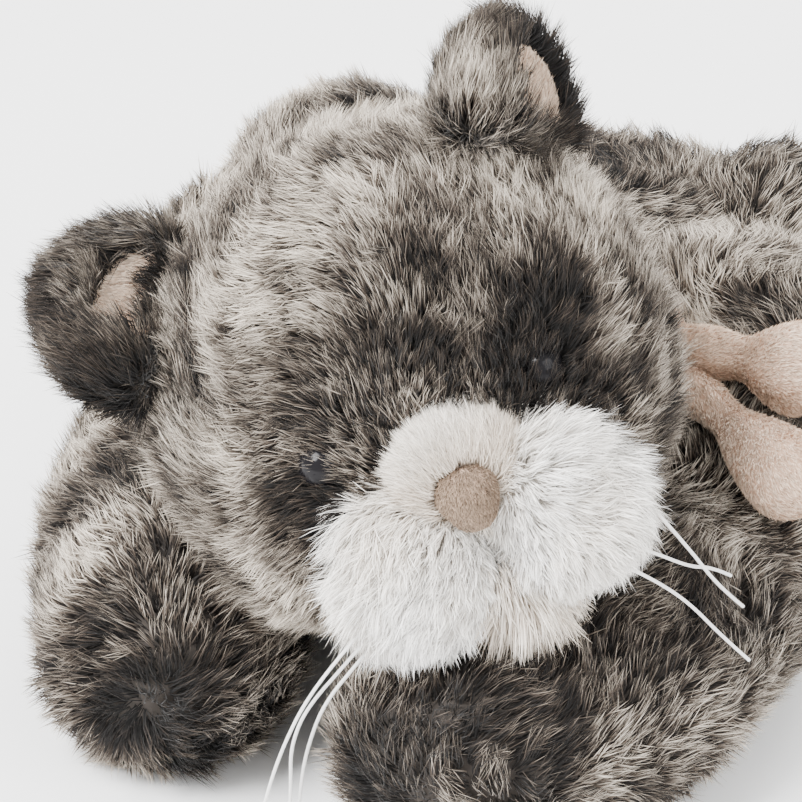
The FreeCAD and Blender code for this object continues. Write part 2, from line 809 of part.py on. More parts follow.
def make_whisker(label, points):
    """One thread: a tube along its route, with its volume checked against its length."""
    path, radii = thread_path(points)
    radius = size("whisker_radius")
    circle = Part.Circle(points[0], points[1] - points[0], radius)
    section = Part.Wire([circle.toShape()])
    tube = path.makePipeShell([section], True, False)
    expected = math.pi * radius**2 * path.Length
    if abs(tube.Volume - expected) > 0.02 * expected:
        raise RuntimeError(f"{label}: volume {tube.Volume} against {expected}")
    item = doc.addObject("Part::Feature", label + "_thread")
    item.Shape = tube
    item.Placement = Placement()
    node(item, label)
    print(f"{label}: length {path.Length:.1f}, radii", [round(value, 1) for value in radii])


# ---------------------------------------------------------------- build, check and write


def check(items):
    """Stop if any object failed, or a sub-part's shape is empty or invalid."""
    for item in doc.Objects:
        if {"Invalid", "Error"} & set(item.State):
            raise RuntimeError(f"{item.Name} failed: {item.State}")
    for item in items:
        shape = item.Shape
        if shape.isNull() or not shape.isValid() or not shape.Solids:
            raise RuntimeError(f"{item.Label} has no valid solid")


def print_joint_centres():
    """Say where the soft joints turn and how the head's axes lie, for whoever joins the parts."""
    for name, route in LIMBS.items():
        print(f"{name} turns about", route[0][0])
    print("neck centre", NECK_CENTRE)
    for name, axis in (("left", X_AXIS), ("back", Y_AXIS), ("up", Z_AXIS)):
        print(f"head's {name}", HEAD_ROTATION.multVec(axis))
    for side_name in SIDES:
        frame = HEAD * ear_frame(side_name)
        print(f"ear {side_name} seam", frame.Base, "along", frame.Rotation.multVec(X_AXIS))


def main():
    """Build every sub-part, check it and write one file for each."""
    make_limbs()
    make_torso()
    make_neck()
    make_head()
    make_muzzle()
    for side_name, side in SIDES.items():
        make_eye(side_name, side)
        make_ear(side_name)
    make_scarf()
    for label, points in WHISKERS.items():
        make_whisker(label, points)
    doc.recompute()
    check(NODES)
    os.makedirs("parts", exist_ok=True)
    for item in NODES:
        item.Shape.exportStep(f"parts/{item.Label}.step")
        print(f"{item.Label}: {item.Shape.Volume / 1000:.2f} ml, solids {len(item.Shape.Solids)}")
    print_joint_centres()


main()
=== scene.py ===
"""Looks of a long-haired plush cat that lies on its belly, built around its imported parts."""

import json
import logging
import math
from dataclasses import dataclass, replace
from enum import Enum
from typing import Any, Callable, Dict, List, Optional, Sequence, Tuple, Union

import bmesh
import bpy
import numpy as np
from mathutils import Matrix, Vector
from mathutils.bvhtree import BVHTree
from mathutils.kdtree import KDTree


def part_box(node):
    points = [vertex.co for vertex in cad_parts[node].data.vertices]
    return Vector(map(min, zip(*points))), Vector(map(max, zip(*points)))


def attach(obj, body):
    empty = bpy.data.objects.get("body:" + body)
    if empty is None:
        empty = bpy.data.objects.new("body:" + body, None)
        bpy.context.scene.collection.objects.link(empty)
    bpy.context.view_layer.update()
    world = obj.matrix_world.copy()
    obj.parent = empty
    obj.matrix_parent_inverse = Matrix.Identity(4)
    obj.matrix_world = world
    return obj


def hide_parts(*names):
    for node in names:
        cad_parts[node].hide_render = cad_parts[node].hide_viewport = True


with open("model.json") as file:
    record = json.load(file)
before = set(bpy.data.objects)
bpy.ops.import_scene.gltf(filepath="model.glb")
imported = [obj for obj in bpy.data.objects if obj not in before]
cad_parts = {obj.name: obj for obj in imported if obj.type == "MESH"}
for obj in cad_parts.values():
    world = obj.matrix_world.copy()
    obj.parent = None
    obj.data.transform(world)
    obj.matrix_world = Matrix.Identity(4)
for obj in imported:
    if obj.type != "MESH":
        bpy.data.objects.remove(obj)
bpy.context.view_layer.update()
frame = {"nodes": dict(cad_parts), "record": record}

LOG = logging.getLogger("plush_cat")
MM = 0.001
Colour = Tuple[float, float, float]
Field = Callable[[np.ndarray], np.ndarray]
JOINTS = {joint["name"]: joint for joint in frame["record"]["behaviour"]["joints"]}


# ---------------------------------------------------------------- shader nodes


class Value:
    """A number flowing through a node tree, with arithmetic that adds Math nodes."""

    def __init__(self, tree: "Tree", socket: bpy.types.NodeSocket) -> None:
        """Keep the socket and the tree that new nodes go into."""
        self.tree = tree
        self.socket = socket

    def _math(self, operation: str, first: Any, second: Any) -> "Value":
        """Add one Math node of two operands."""
        node = self.tree.add("ShaderNodeMath", {"operation": operation}, {0: first, 1: second})
        return Value(self.tree, node.outputs[0])

    def __add__(self, other: Any) -> "Value":
        """Sum."""
        return self._math("ADD", self, other)

    __radd__ = __add__

    def __mul__(self, other: Any) -> "Value":
        """Product."""
        return self._math("MULTIPLY", self, other)

    __rmul__ = __mul__

    def __sub__(self, other: Any) -> "Value":
        """Difference."""
        return self._math("SUBTRACT", self, other)

    def __rsub__(self, other: Any) -> "Value":
        """Difference taken from a plain number."""
        return self._math("SUBTRACT", other, self)


class Tree:
    """A material's nodes and the one call that adds any of them."""

    def __init__(self, name: str) -> None:
        """Start a material with a Principled shader.

        Args:
            name: the material's name.
        """
        self.material = bpy.data.materials.new(name)
        self.material.use_nodes = True
        self.nodes = self.material.node_tree.nodes
        self.links = self.material.node_tree.links
        self.shader = self.nodes["Principled BSDF"]

    def add(
        self,
        kind: str,
        settings: Optional[Dict[str, Any]] = None,
        inputs: Optional[Dict[Union[int, str], Any]] = None,
    ) -> bpy.types.Node:
        """Add a node.

        Args:
            kind: the node's type.
            settings: its properties, set first; "stops" fills a colour ramp.
            inputs: a number, colour, socket or Value for each named socket.

        Returns:
            The new node.
        """
        node = self.nodes.new(kind)
        for key, setting in (settings or {}).items():
            if key == "stops":
                self._fill_ramp(node.color_ramp, setting)
            else:
                setattr(node, key, setting)
        for key, given in (inputs or {}).items():
            self.feed(node.inputs[key], given)
        return node

    @staticmethod
    def _fill_ramp(ramp: bpy.types.ColorRamp, stops: Sequence[Tuple[float, Colour]]) -> None:
        """Give a ramp its stops."""
        while len(ramp.elements) < len(stops):
            ramp.elements.new(0.5)
        for element, (place, colour) in zip(ramp.elements, stops):
            element.position = place
            element.color = (*colour, 1.0)

    def feed(self, socket: bpy.types.NodeSocket, given: Any) -> None:
        """Link a socket or a Value, or set a plain number or colour."""
        if isinstance(given, Value):
            given = given.socket
        if isinstance(given, bpy.types.NodeSocket):
            self.links.new(given, socket)
        elif isinstance(given, tuple) and len(given) == 3 and socket.type == "RGBA":
            socket.default_value = (*given, 1.0)
        else:
            socket.default_value = given

    def fix(self, **constants: Any) -> None:
        """Set constants on the shader's own sockets, spaces written as underscores."""
        for key, given in constants.items():
            self.feed(self.shader.inputs[key.replace("_", " ")], given)

    def mixed(self, blend: str, factor: Any, first: Any, second: Any) -> bpy.types.NodeSocket:
        """Mix two colours.

        Args:
            blend: the Mix node's blend type.
            factor: how much of the second colour.
            first: the first colour.
            second: the second colour.

        Returns:
            The mixed colour's socket.
        """
        node = self.add("ShaderNodeMix", {"data_type": "RGBA", "blend_type": blend}, {0: factor})
        self.feed(node.inputs[6], first)
        self.feed(node.inputs[7], second)
        return node.outputs[2]

    def object_noise(self, scale: float, detail: float = 2.0) -> Value:
        """Noise on Object coordinates."""
        where = self.add("ShaderNodeTexCoord").outputs["Object"]
        noise = self.add("ShaderNodeTexNoise", {}, {"Vector": where, "Scale": scale, "Detail": detail})
        return Value(self, noise.outputs[0])


@dataclass(frozen=True)
class PileFinish:
    """Colour of a pile from the fabric to the hairs' tips."""

    name: str
    root: Colour
    middle: Colour
    tip: Colour
    shade: Colour
    root_share: float = 0.42
    roughness: float = 0.75
    sheen: float = 0.1

    def material(self) -> bpy.types.Material:
        """Read how far along each hair a point is, the hair's own tone and its patch.

        Returns:
            The pile's material.
        """
        tree = Tree(self.name)
        fibre = tree.add("ShaderNodeAttribute", {"attribute_name": "fibre"}).outputs["Vector"]
        parts = tree.add("ShaderNodeSeparateXYZ", {}, {0: fibre}).outputs
        along, tone, patch = (Value(tree, part) for part in parts)
        reach = along + (tone - 0.5) * 0.35 + (patch - 0.5) * 0.45
        stops = (
            (0.0, self.root),
            (self.root_share, self.root),
            (self.root_share + 0.25, self.middle),
            (0.95, self.tip),
        )
        ramp = tree.add("ShaderNodeValToRGB", {"stops": stops}, {0: reach}).outputs[0]
        shaded = tree.mixed("MULTIPLY", (1.0 - patch) * 0.95, ramp, self.shade)
        bright = tree.add("ShaderNodeHueSaturation", {}, {"Color": shaded, "Value": tone * 0.5 + 0.75})
        tree.feed(tree.shader.inputs["Base Color"], bright.outputs[0])
        tree.fix(Roughness=self.roughness, Sheen_Weight=self.sheen, Specular_IOR_Level=0.25)
        return tree.material


@dataclass(frozen=True)
class PlainFinish:
    """A surface whose colour and roughness vary a little from place to place."""

    name: str
    light: Colour
    dark: Colour
    roughness: Tuple[float, float] = (0.5, 0.8)
    scale: float = 400.0
    bump: float = 0.0
    gloss: float = 0.5

    def material(self) -> bpy.types.Material:
        """Mix the two colours by noise.

        Returns:
            The finish's material.
        """
        tree = Tree(self.name)
        grain = tree.object_noise(self.scale)
        low, high = self.roughness
        tree.feed(tree.shader.inputs["Base Color"], tree.mixed("MIX", grain, self.dark, self.light))
        tree.feed(tree.shader.inputs["Roughness"], grain * (high - low) + low)
        if self.bump:
            lump = tree.add(
                "ShaderNodeBump", {}, {"Strength": self.bump, "Distance": 0.3 * MM, "Height": grain}
            )
            tree.feed(tree.shader.inputs["Normal"], lump.outputs[0])
        tree.fix(Specular_IOR_Level=self.gloss)
        return tree.material


FUR = PileFinish(
    "two_tone_fur", (0.010, 0.006, 0.004), (0.120, 0.092, 0.070), (0.62, 0.55, 0.46), (0.10, 0.075, 0.058)
)
WHITE_FUR = PileFinish(
    "white_fluff", (0.48, 0.44, 0.39), (0.78, 0.75, 0.71), (0.90, 0.89, 0.87), (0.88, 0.82, 0.74), 0.1
)
CREAM_PILE = PileFinish(
    "cream_pile", (0.46, 0.39, 0.32), (0.70, 0.63, 0.55), (0.82, 0.77, 0.70), (0.84, 0.75, 0.66), 0.1
)
VELOUR = PileFinish(
    "beige_velour", (0.50, 0.35, 0.25), (0.68, 0.51, 0.39), (0.82, 0.68, 0.55), (0.82, 0.71, 0.61), 0.1
)
FELT = PileFinish(
    "nose_felt", (0.11, 0.07, 0.045), (0.20, 0.14, 0.095), (0.29, 0.21, 0.15), (0.7, 0.62, 0.55), 0.1
)
FUR_BACKING = PlainFinish("fur_backing", (0.05, 0.04, 0.032), (0.016, 0.012, 0.010), (0.8, 0.95))
WHITE_BACKING = PlainFinish("white_backing", (0.74, 0.71, 0.67), (0.60, 0.56, 0.52), (0.8, 0.95))
VELOUR_BACKING = PlainFinish("velour_backing", (0.60, 0.42, 0.31), (0.50, 0.34, 0.24), (0.8, 0.95))
EYE_GLOSS = PlainFinish(
    "eye_gloss", (0.010, 0.009, 0.010), (0.004, 0.004, 0.005), (0.10, 0.16), scale=90.0, gloss=0.12
)
WASHER_PLASTIC = PlainFinish("washer_plastic", (0.80, 0.80, 0.77), (0.72, 0.72, 0.69), (0.4, 0.55))
FIBRE_WAD = PlainFinish("fibre_wad", (0.90, 0.90, 0.88), (0.70, 0.70, 0.68), (0.8, 0.95), 700.0, 0.6)
PELLET_CLOTH = PlainFinish("pellet_cloth", (0.76, 0.75, 0.71), (0.58, 0.57, 0.54), (0.7, 0.9), 900.0, 0.5)
THREAD = PlainFinish("waxed_thread", (0.93, 0.92, 0.90), (0.72, 0.71, 0.69), (0.35, 0.55), 1500.0, 0.6)


class Weave(Enum):
    """The kinds of hair, by how many spans each is made of."""

    SHORT = 2
    LONG = 4


# ---------------------------------------------------------------- fields over the cat


def waves(points: np.ndarray, pitch: float, seed: int) -> np.ndarray:
    """Smooth noise between about -1 and 1.

    Args:
        points: positions, one a row.
        pitch: distance between neighbouring lumps, in metres.
        seed: picks the pattern.

    Returns:
        One number for each position.
    """
    rng = np.random.default_rng(seed)
    total = np.zeros(len(points))
    for _ in range(7):
        direction = rng.normal(size=3)
        direction *= rng.uniform(0.6, 1.5) * 2 * math.pi / pitch / np.linalg.norm(direction) / 2
        total += np.sin(points @ direction + rng.uniform(0, 2 * math.pi))
    return total / 3.2


def normalised(vectors: np.ndarray) -> np.ndarray:
    """Each row at unit length."""
    return vectors / (np.linalg.norm(vectors, axis=1, keepdims=True) + 1e-12)


def near(points: np.ndarray, centre: Sequence[float], reach: float) -> np.ndarray:
    """A soft spot that is 1 at its centre and fades over a reach."""
    squared = ((points - np.array(centre)) ** 2).sum(1)
    return np.exp(-squared / reach**2)


def middle(node: str) -> np.ndarray:
    """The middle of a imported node's box."""
    low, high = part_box(node)
    return (np.array(low) + np.array(high)) / 2


def pointing_from(centre: Sequence[float], drift: Sequence[float] = (0.0, 0.0, 0.0)) -> Field:
    """Hair that lies away from a point, with a steady drift added."""

    def flow(points: np.ndarray) -> np.ndarray:
        """The lie at each position."""
        return normalised(points - np.array(centre)) + np.array(drift)

    return flow


def pointing(direction: Sequence[float]) -> Field:
    """Hair that all lies one way."""

    def flow(points: np.ndarray) -> np.ndarray:
        """The lie at each position."""
        return np.tile(np.array(direction, float), (len(points), 1))

    return flow


# ---------------------------------------------------------------- meshes


def finished(
    name: str, shape: bmesh.types.BMesh, finish: bpy.types.Material, smooth: bool = True
) -> bpy.types.Object:
    """Turn a bmesh into an object with one material."""
    mesh = bpy.data.meshes.new(name)
    shape.to_mesh(mesh)
    shape.free()
    mesh.materials.append(finish)
    mesh.shade_smooth() if smooth else mesh.shade_flat()
    piece = bpy.data.objects.new(name, mesh)
    bpy.context.scene.collection.objects.link(piece)
    return piece


def outer_shell(node: str) -> bmesh.types.BMesh:
    """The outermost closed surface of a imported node, without its hollow.

    Args:
        node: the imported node.

    Returns:
        A merged bmesh of that surface.
    """
    shape = bmesh.new()
    shape.from_mesh(frame["nodes"][node].data)
    bmesh.ops.remove_doubles(shape, verts=shape.verts, dist=0.002 * MM)
    shape.verts.ensure_lookup_table()
    island = np.full(len(shape.verts), -1)
    sizes: List[float] = []
    for start in shape.verts:
        if island[start.index] >= 0:
            continue
        front, members = [start], [start]
        island[start.index] = len(sizes)
        while front:
            vertex = front.pop()
            for edge in vertex.link_edges:
                other = edge.other_vert(vertex)
                if island[other.index] < 0:
                    island[other.index] = len(sizes)
                    front.append(other)
                    members.append(other)
        spread = np.array([v.co for v in members])
        sizes.append(float(np.prod(spread.max(0) - spread.min(0))))
    keep = int(np.argmax(sizes))
    inner = [vertex for vertex in shape.verts if island[vertex.index] != keep]
    bmesh.ops.delete(shape, geom=inner, context="VERTS")
    return shape


def remeshed(piece: bpy.types.Object, voxel: float) -> None:
    """Give a closed piece an even net of small faces."""
    modifier = piece.modifiers.new("even", "REMESH")
    modifier.mode = "VOXEL"
    modifier.voxel_size = voxel
    modifier.use_smooth_shade = True
    apply_modifiers(piece)


def apply_modifiers(piece: bpy.types.Object) -> None:
    """Replace a piece's mesh by what its modifiers make of it."""
    graph = bpy.context.evaluated_depsgraph_get()
    finish = list(piece.data.materials)
    made = bpy.data.meshes.new_from_object(piece.evaluated_get(graph))
    piece.modifiers.clear()
    piece.data = made
    made.materials.clear()
    for material in finish:
        made.materials.append(material)


def inflated(piece: bpy.types.Object, cap: float, pressure: float = 4.0, frames: int = 16) -> None:
    """Swell a closed piece like stuffed cloth.

    Args:
        piece: a closed, evenly meshed piece.
        cap: the furthest that a point may move, in metres.
        pressure: how hard the stuffing pushes.
        frames: how long it settles.
    """
    before = positions(piece.data)
    cloth = piece.modifiers.new("stuffing", "CLOTH")
    cloth.settings.use_pressure = True
    cloth.settings.uniform_pressure_force = pressure
    cloth.settings.quality = 4
    cloth.settings.effector_weights.gravity = 0.0
    cloth.point_cache.frame_start = 1
    cloth.point_cache.frame_end = frames
    for number in range(1, frames + 1):
        bpy.context.scene.frame_set(number)
    apply_modifiers(piece)
    bpy.context.scene.frame_set(1)
    moved = positions(piece.data) - before
    far = np.linalg.norm(moved, axis=1, keepdims=True)
    settled = before + moved * np.minimum(1.0, cap / (far + 1e-9))
    piece.data.vertices.foreach_set("co", settled.astype(np.float32).ravel())
    piece.data.update()


def positions(mesh: bpy.types.Mesh) -> np.ndarray:
    """The mesh's vertices, one a row."""
    flat = np.empty(len(mesh.vertices) * 3, np.float32)
    mesh.vertices.foreach_get("co", flat)
    return flat.reshape(-1, 3).astype(float)


def normals_of(mesh: bpy.types.Mesh) -> np.ndarray:
    """The mesh's vertex normals, one a row."""
    flat = np.empty(len(mesh.vertices) * 3, np.float32)
    mesh.vertex_normals.foreach_get("vector", flat)
    return flat.reshape(-1, 3).astype(float)


def triangles_of(mesh: bpy.types.Mesh) -> np.ndarray:
    """The mesh's triangles as rows of vertex numbers."""
    mesh.calc_loop_triangles()
    flat = np.empty(len(mesh.loop_triangles) * 3, np.int32)
    mesh.loop_triangles.foreach_get("vertices", flat)
    return flat.reshape(-1, 3)


def lumped(piece: bpy.types.Object, height: float, pitch: float, seed: int) -> None:
    """Push a piece's surface in and out by smooth waves, and keep it on the floor."""
    where, outwards = positions(piece.data), normals_of(piece.data)
    where += outwards * (waves(where, pitch, seed) * height)[:, None]
    where[:, 2] = np.maximum(where[:, 2], 0.2 * MM)
    piece.data.vertices.foreach_set("co", where.astype(np.float32).ravel())
    piece.data.update()


def gathered(piece: bpy.types.Object, knot: np.ndarray, waist: float = 0.42) -> None:
    """Draw a loop in to a waist part way along, with folds running out of it.

    Args:
        piece: the loop.
        knot: where it leaves the knot.
        waist: the waist's place, as a share of the loop's reach.
    """
    where = positions(piece.data)
    axis = normalised((where.mean(0) - knot)[None])[0]
    reach = (where - knot) @ axis
    share = (reach - reach.min()) / (reach.max() - reach.min())
    centres = knot + np.outer(reach, axis)
    centres += ((where - centres) * (share < 0.8)[:, None]).mean(0)
    out = where - centres
    sideways = np.cross(axis, (0.0, 0.0, 1.0))
    turn = np.arctan2(out @ np.cross(axis, sideways), out @ sideways)
    squeeze = 1 - 0.42 * np.exp(-(((share - waist) / 0.16) ** 2))
    folds = 1 + 0.07 * np.sin(5 * turn + 2.0) * np.sin(math.pi * share)
    where = centres + out * (squeeze * folds)[:, None]
    piece.data.vertices.foreach_set("co", where.astype(np.float32).ravel())
    piece.data.update()


# ---------------------------------------------------------------- the pile


def hair_template(rows: int) -> Tuple[np.ndarray, List[List[int]]]:
    """One flat tapered hair: a strip of cross rows that ends in a point.

    Args:
        rows: how many spans the strip has.

    Returns:
        Across (-1 to 1) and along (0 to 1) of each corner, and the faces' corners.
    """
    shape = bmesh.new()
    bmesh.ops.create_grid(shape, x_segments=1, y_segments=rows, size=1.0)
    top = [vertex for vertex in shape.verts if vertex.co.y > 0.99]
    bmesh.ops.pointmerge(shape, verts=top, merge_co=(0.0, 1.0, 0.0))
    shape.verts.index_update()
    corners = np.array([(vertex.co.x, (vertex.co.y + 1) / 2) for vertex in shape.verts])
    faces = [[vertex.index for vertex in face.verts] for face in shape.faces]
    shape.free()
    return corners, faces


@dataclass(frozen=True)
class Pile:
    """How a fabric's hairs grow, lengths in metres and angles in radians."""

    hairs: int
    length: float
    width: float = 0.34 * MM
    weave: Weave = Weave.SHORT
    lean_low: float = 0.35
    lean_high: float = 0.95
    spread: float = 0.42
    clump: float = 0.62
    clump_pitch: float = 5.5 * MM
    swirl: float = 0.85
    swirl_pitch: float = 30 * MM
    droop: float = 0.0


FLOOR_CLEARANCE = 0.4 * MM


def chosen_roots(
    pelt: bpy.types.Mesh, hairs: int, open_faces: np.ndarray, rng: np.random.Generator
) -> Tuple[np.ndarray, np.ndarray]:
    """Spread roots evenly over a pelt's open faces.

    Args:
        pelt: the fabric's mesh.
        hairs: how many roots.
        open_faces: a weight for each triangle, 0 where nothing grows.
        rng: the piece's random numbers.

    Returns:
        Positions and normals of the roots.
    """
    where, outwards, triangles = positions(pelt), normals_of(pelt), triangles_of(pelt)
    corners = where[triangles]
    areas = np.linalg.norm(
        np.cross(corners[:, 1] - corners[:, 0], corners[:, 2] - corners[:, 0]), axis=1
    )
    weights = areas * open_faces
    picked = rng.choice(len(triangles), hairs, p=weights / weights.sum())
    first, second = rng.random((2, hairs))
    fold = first + second > 1
    first[fold], second[fold] = 1 - first[fold], 1 - second[fold]
    shares = np.stack([1 - first - second, first, second], axis=1)[:, :, None]
    roots = (corners[picked] * shares).sum(1)
    normals = normalised((outwards[triangles[picked]] * shares).sum(1))
    return roots, normals


def clumped(roots: np.ndarray, tips: np.ndarray, pile: Pile) -> np.ndarray:
    """Draw each hair's tip towards the tip of the tuft that it stands in."""
    count = max(1, int(len(roots) / 14))
    tree = KDTree(count)
    for number in range(count):
        tree.insert(roots[number], number)
    tree.balance()
    leader = np.array([tree.find(root)[1] for root in roots])
    gathered = tips[leader] + (roots - roots[leader]) * 0.35
    distance = np.linalg.norm(roots - roots[leader], axis=1)
    pull = pile.clump * (distance < pile.clump_pitch)
    return tips + (gathered - tips) * pull[:, None]


def planted(
    name: str,
    pelt: bpy.types.Object,
    pile: Pile,
    flow: Field,
    patch: Field,
    finish: bpy.types.Material,
    seed: int,
    open_faces: Optional[np.ndarray] = None,
    stretch: Optional[Field] = None,
) -> bpy.types.Object:
    """Grow a pile on a pelt as one piece.

    Args:
        name: the new piece's name.
        pelt: the piece that the hairs stand on.
        pile: how they grow.
        flow: which way they lie at each root.
        patch: how light the fur is at each root, 0 to 1.
        finish: the pile's material.
        seed: picks the random draws.
        open_faces: a weight for each of the pelt's triangles.
        stretch: how long the hairs are at each root, as a share of the pile's length.

    Returns:
        The piece.
    """
    rng = np.random.default_rng(seed)
    if open_faces is None:
        open_faces = np.ones(len(triangles_of(pelt.data)))
    roots, normals = chosen_roots(pelt.data, pile.hairs, open_faces, rng)
    count = len(roots)
    lie = flow(roots)
    lie -= normals * (lie * normals).sum(1)[:, None]
    lie = normalised(lie)
    angle = pile.swirl * waves(roots, pile.swirl_pitch, seed + 1) + rng.normal(0, pile.spread, count)
    cross = np.cross(normals, lie)
    lie = lie * np.cos(angle)[:, None] + cross * np.sin(angle)[:, None]
    ruffle = 0.22 * waves(roots, pile.swirl_pitch * 0.5, seed + 2)
    low = pile.lean_low + ruffle + rng.normal(0, pile.spread * 0.5, count)
    high = pile.lean_high + ruffle + rng.normal(0, pile.spread * 0.7, count)
    length = pile.length * np.clip(rng.normal(1.0, 0.16, count), 0.5, 1.4)
    if stretch is not None:
        length = length * stretch(roots)
    length = length[:, None]
    bends = roots + length * 0.5 * (normals * np.cos(low)[:, None] + lie * np.sin(low)[:, None])
    tips = roots + length * (normals * np.cos(high)[:, None] + lie * np.sin(high)[:, None]) * 0.97
    tips[:, 2] -= pile.droop * length[:, 0]
    tips = clumped(roots, tips, pile)
    corners, faces = hair_template(pile.weave.value)
    across, along = corners[:, 0], corners[:, 1]
    axis = normalised(tips - roots)
    side = normalised(np.cross(axis, normals) + rng.normal(0, 0.02, (count, 3)))
    roll = rng.normal(0, 0.7, count)[:, None]
    side = side * np.cos(roll) + np.cross(axis, side) * np.sin(roll)
    width = pile.width * rng.uniform(0.7, 1.3, count)
    step = along[None, :, None]
    curve = (
        roots[:, None] * (1 - step) ** 2
        + bends[:, None] * 2 * step * (1 - step)
        + tips[:, None] * step**2
    )
    taper = np.where(along < 0.99, 0.5 * (1 - 0.35 * along), 0.0)
    curve = curve + side[:, None] * (across * taper)[None, :, None] * width[:, None, None]
    curve[:, :, 2] = np.maximum(curve[:, :, 2], FLOOR_CLEARANCE)
    piece = strands(name, curve, across, along, faces, finish)
    fibre = np.empty((count, len(along), 3), np.float32)
    fibre[:, :, 0] = along[None]
    fibre[:, :, 1] = rng.random(count)[:, None]
    fibre[:, :, 2] = np.clip(patch(roots) + rng.normal(0, 0.06, count), 0, 1)[:, None]
    attribute = piece.data.attributes.new("fibre", "FLOAT_VECTOR", "POINT")
    attribute.data.foreach_set("vector", fibre.ravel())
    return piece


def strands(
    name: str,
    curve: np.ndarray,
    across: np.ndarray,
    along: np.ndarray,
    faces: List[List[int]],
    finish: bpy.types.Material,
) -> bpy.types.Object:
    """Repeat the hair template as one mesh, each hair in a cell of its own on the UV map.

    Args:
        name: the piece's name.
        curve: corner positions, by hair and by corner.
        across: each template corner's place across the hair.
        along: each template corner's place along the hair.
        faces: the template's faces.
        finish: the material.

    Returns:
        The piece.
    """
    count, corner_count = curve.shape[:2]
    loops = np.concatenate(faces)
    starts = np.cumsum([0] + [len(face) for face in faces[:-1]])
    mesh = bpy.data.meshes.new(name)
    mesh.vertices.add(count * corner_count)
    mesh.vertices.foreach_set("co", curve.astype(np.float32).ravel())
    offset = np.arange(count)[:, None]
    all_loops = (loops[None] + offset * corner_count).ravel()
    mesh.loops.add(len(all_loops))
    mesh.loops.foreach_set("vertex_index", all_loops.astype(np.int32))
    all_starts = (starts[None] + offset * len(loops)).ravel()
    mesh.polygons.add(len(all_starts))
    mesh.polygons.foreach_set("loop_start", all_starts.astype(np.int32))
    side = math.ceil(math.sqrt(count))
    cell = np.stack([np.arange(count) % side, np.arange(count) // side], axis=1)
    inside = np.stack([across * 0.38 + 0.5, along * 0.8 + 0.1], axis=1)
    spread = ((cell[:, None] + inside[loops][None]) / side).astype(np.float32)
    mesh.uv_layers.new(name="OFBake").data.foreach_set("uv", spread.ravel())
    mesh.update(calc_edges=True)
    mesh.validate()
    mesh.materials.append(finish)
    mesh.shade_smooth()
    piece = bpy.data.objects.new(name, mesh)
    bpy.context.scene.collection.objects.link(piece)
    return piece


# ---------------------------------------------------------------- the cat


class Workshop:
    """Materials and pelts that the pieces share."""

    def __init__(self) -> None:
        """Make each finish once."""
        self.finish = {
            item.name: item.material()
            for item in (
                FUR, WHITE_FUR, CREAM_PILE, VELOUR, FELT, FUR_BACKING, WHITE_BACKING, VELOUR_BACKING,
                EYE_GLOSS, WASHER_PLASTIC, FIBRE_WAD, PELLET_CLOTH, THREAD,
            )
        }
        self.pelts: Dict[str, bpy.types.Object] = {}

    def of(self, finish: Union[PileFinish, PlainFinish]) -> bpy.types.Material:
        """The made material of a finish."""
        return self.finish[finish.name]

    def keep_node(self, node: str, finish: PlainFinish) -> None:
        """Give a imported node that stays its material."""
        mesh = frame["nodes"][node].data
        mesh.materials.clear()
        mesh.materials.append(self.of(finish))
        LOG.info("%s keeps its shape", node)

    def place(self, piece: bpy.types.Object, body: str, slot: str, *nodes: str) -> bpy.types.Object:
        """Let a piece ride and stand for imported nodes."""
        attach(piece, body)
        if nodes:
            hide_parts(*nodes)
        LOG.info("%s rides on %s", piece.name, body)
        return piece

    def open_faces(self, name: str, clearance: float = 1.5 * MM) -> np.ndarray:
        """Where a pelt isn't pressed against or inside another one.

        Args:
            name: the pelt.
            clearance: how near another pelt may be.

        Returns:
            1 for each open triangle and 0 for each covered one.
        """
        mesh = self.pelts[name].data
        where, triangles = positions(mesh), triangles_of(mesh)
        centres = where[triangles].mean(1)
        shown = np.ones(len(triangles))
        for other, piece in self.pelts.items():
            if other == name:
                continue
            low, high = positions(piece.data).min(0) - 0.01, positions(piece.data).max(0) + 0.01
            candidates = np.nonzero(((centres > low) & (centres < high)).all(1) & (shown > 0))[0]
            if not len(candidates):
                continue
            tree = BVHTree.FromPolygons(positions(piece.data).tolist(), triangles_of(piece.data).tolist())
            for number in candidates:
                spot = Vector(centres[number])
                hit, normal, _, distance = tree.find_nearest(spot)
                if distance < clearance or (spot - hit).dot(normal) < 0:
                    shown[number] = 0.0
        return shown


@dataclass
class Limb:
    """A stuffed limb: its pelt, and the fur on it."""

    name: str
    hairs: int
    seed: int
    flow: Field
    patch: Field
    length: float = 11 * MM
    voxel: float = 4 * MM

    def sew(self, shop: Workshop) -> None:
        """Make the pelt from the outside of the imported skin."""
        node = self.name + "_skin"
        pelt = finished(self.name + "_pelt", outer_shell(node), shop.of(FUR_BACKING))
        remeshed(pelt, self.voxel)
        inflated(pelt, 2.0 * MM)
        lumped(pelt, 1.4 * MM, 34 * MM, self.seed)
        shop.pelts[self.name] = pelt
        shop.place(pelt, self.name, "fur_body", node)

    def plant(self, shop: Workshop) -> None:
        """Grow the fur."""
        pile = Pile(self.hairs, self.length, swirl=1.3, swirl_pitch=24 * MM)
        fur = planted(
            self.name + "_fur", shop.pelts[self.name], pile, self.flow, self.patch,
            shop.of(FUR), self.seed, shop.open_faces(self.name),
        )
        shop.place(fur, self.name, "fur_body")


